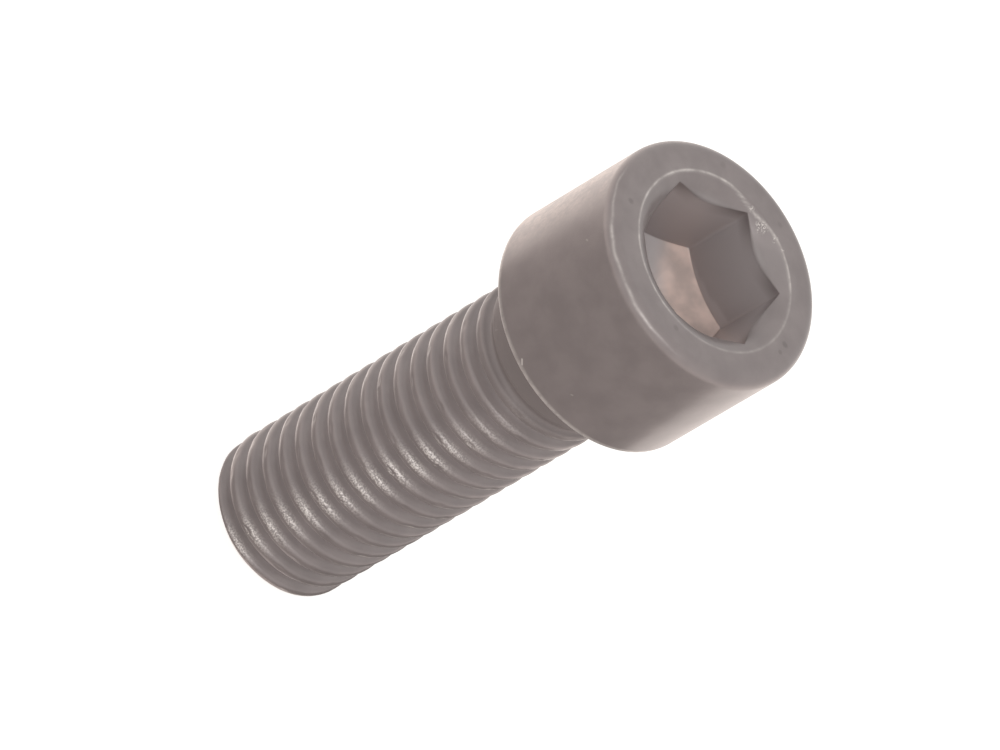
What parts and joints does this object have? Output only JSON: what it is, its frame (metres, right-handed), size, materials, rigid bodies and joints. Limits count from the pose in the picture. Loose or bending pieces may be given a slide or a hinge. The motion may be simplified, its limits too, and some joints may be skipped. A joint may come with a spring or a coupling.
{
  "type": "hex socket head cap screw",
  "caption": "Cylindrical-head cap screw with a hexagon socket in the head, a coarse right-hand thread up to the head and a chamfered flat tip.",
  "frame": {"origin": "centre of the flat bearing face under the head, on the screw's axis", "axes": "+Z along the screw's axis towards the top of the head; the shank points down -Z and the screw stands on its flat tip; two corners of the hexagon socket lie on the X axis"},
  "size_m": [0.0178, 0.0178, 0.0462],
  "materials": {
    "steel": "dark satin steel, rubbed bright along the edges"
  },
  "bodies": {
    "root": {"screw": "steel"}
  },
  "joints": []
}
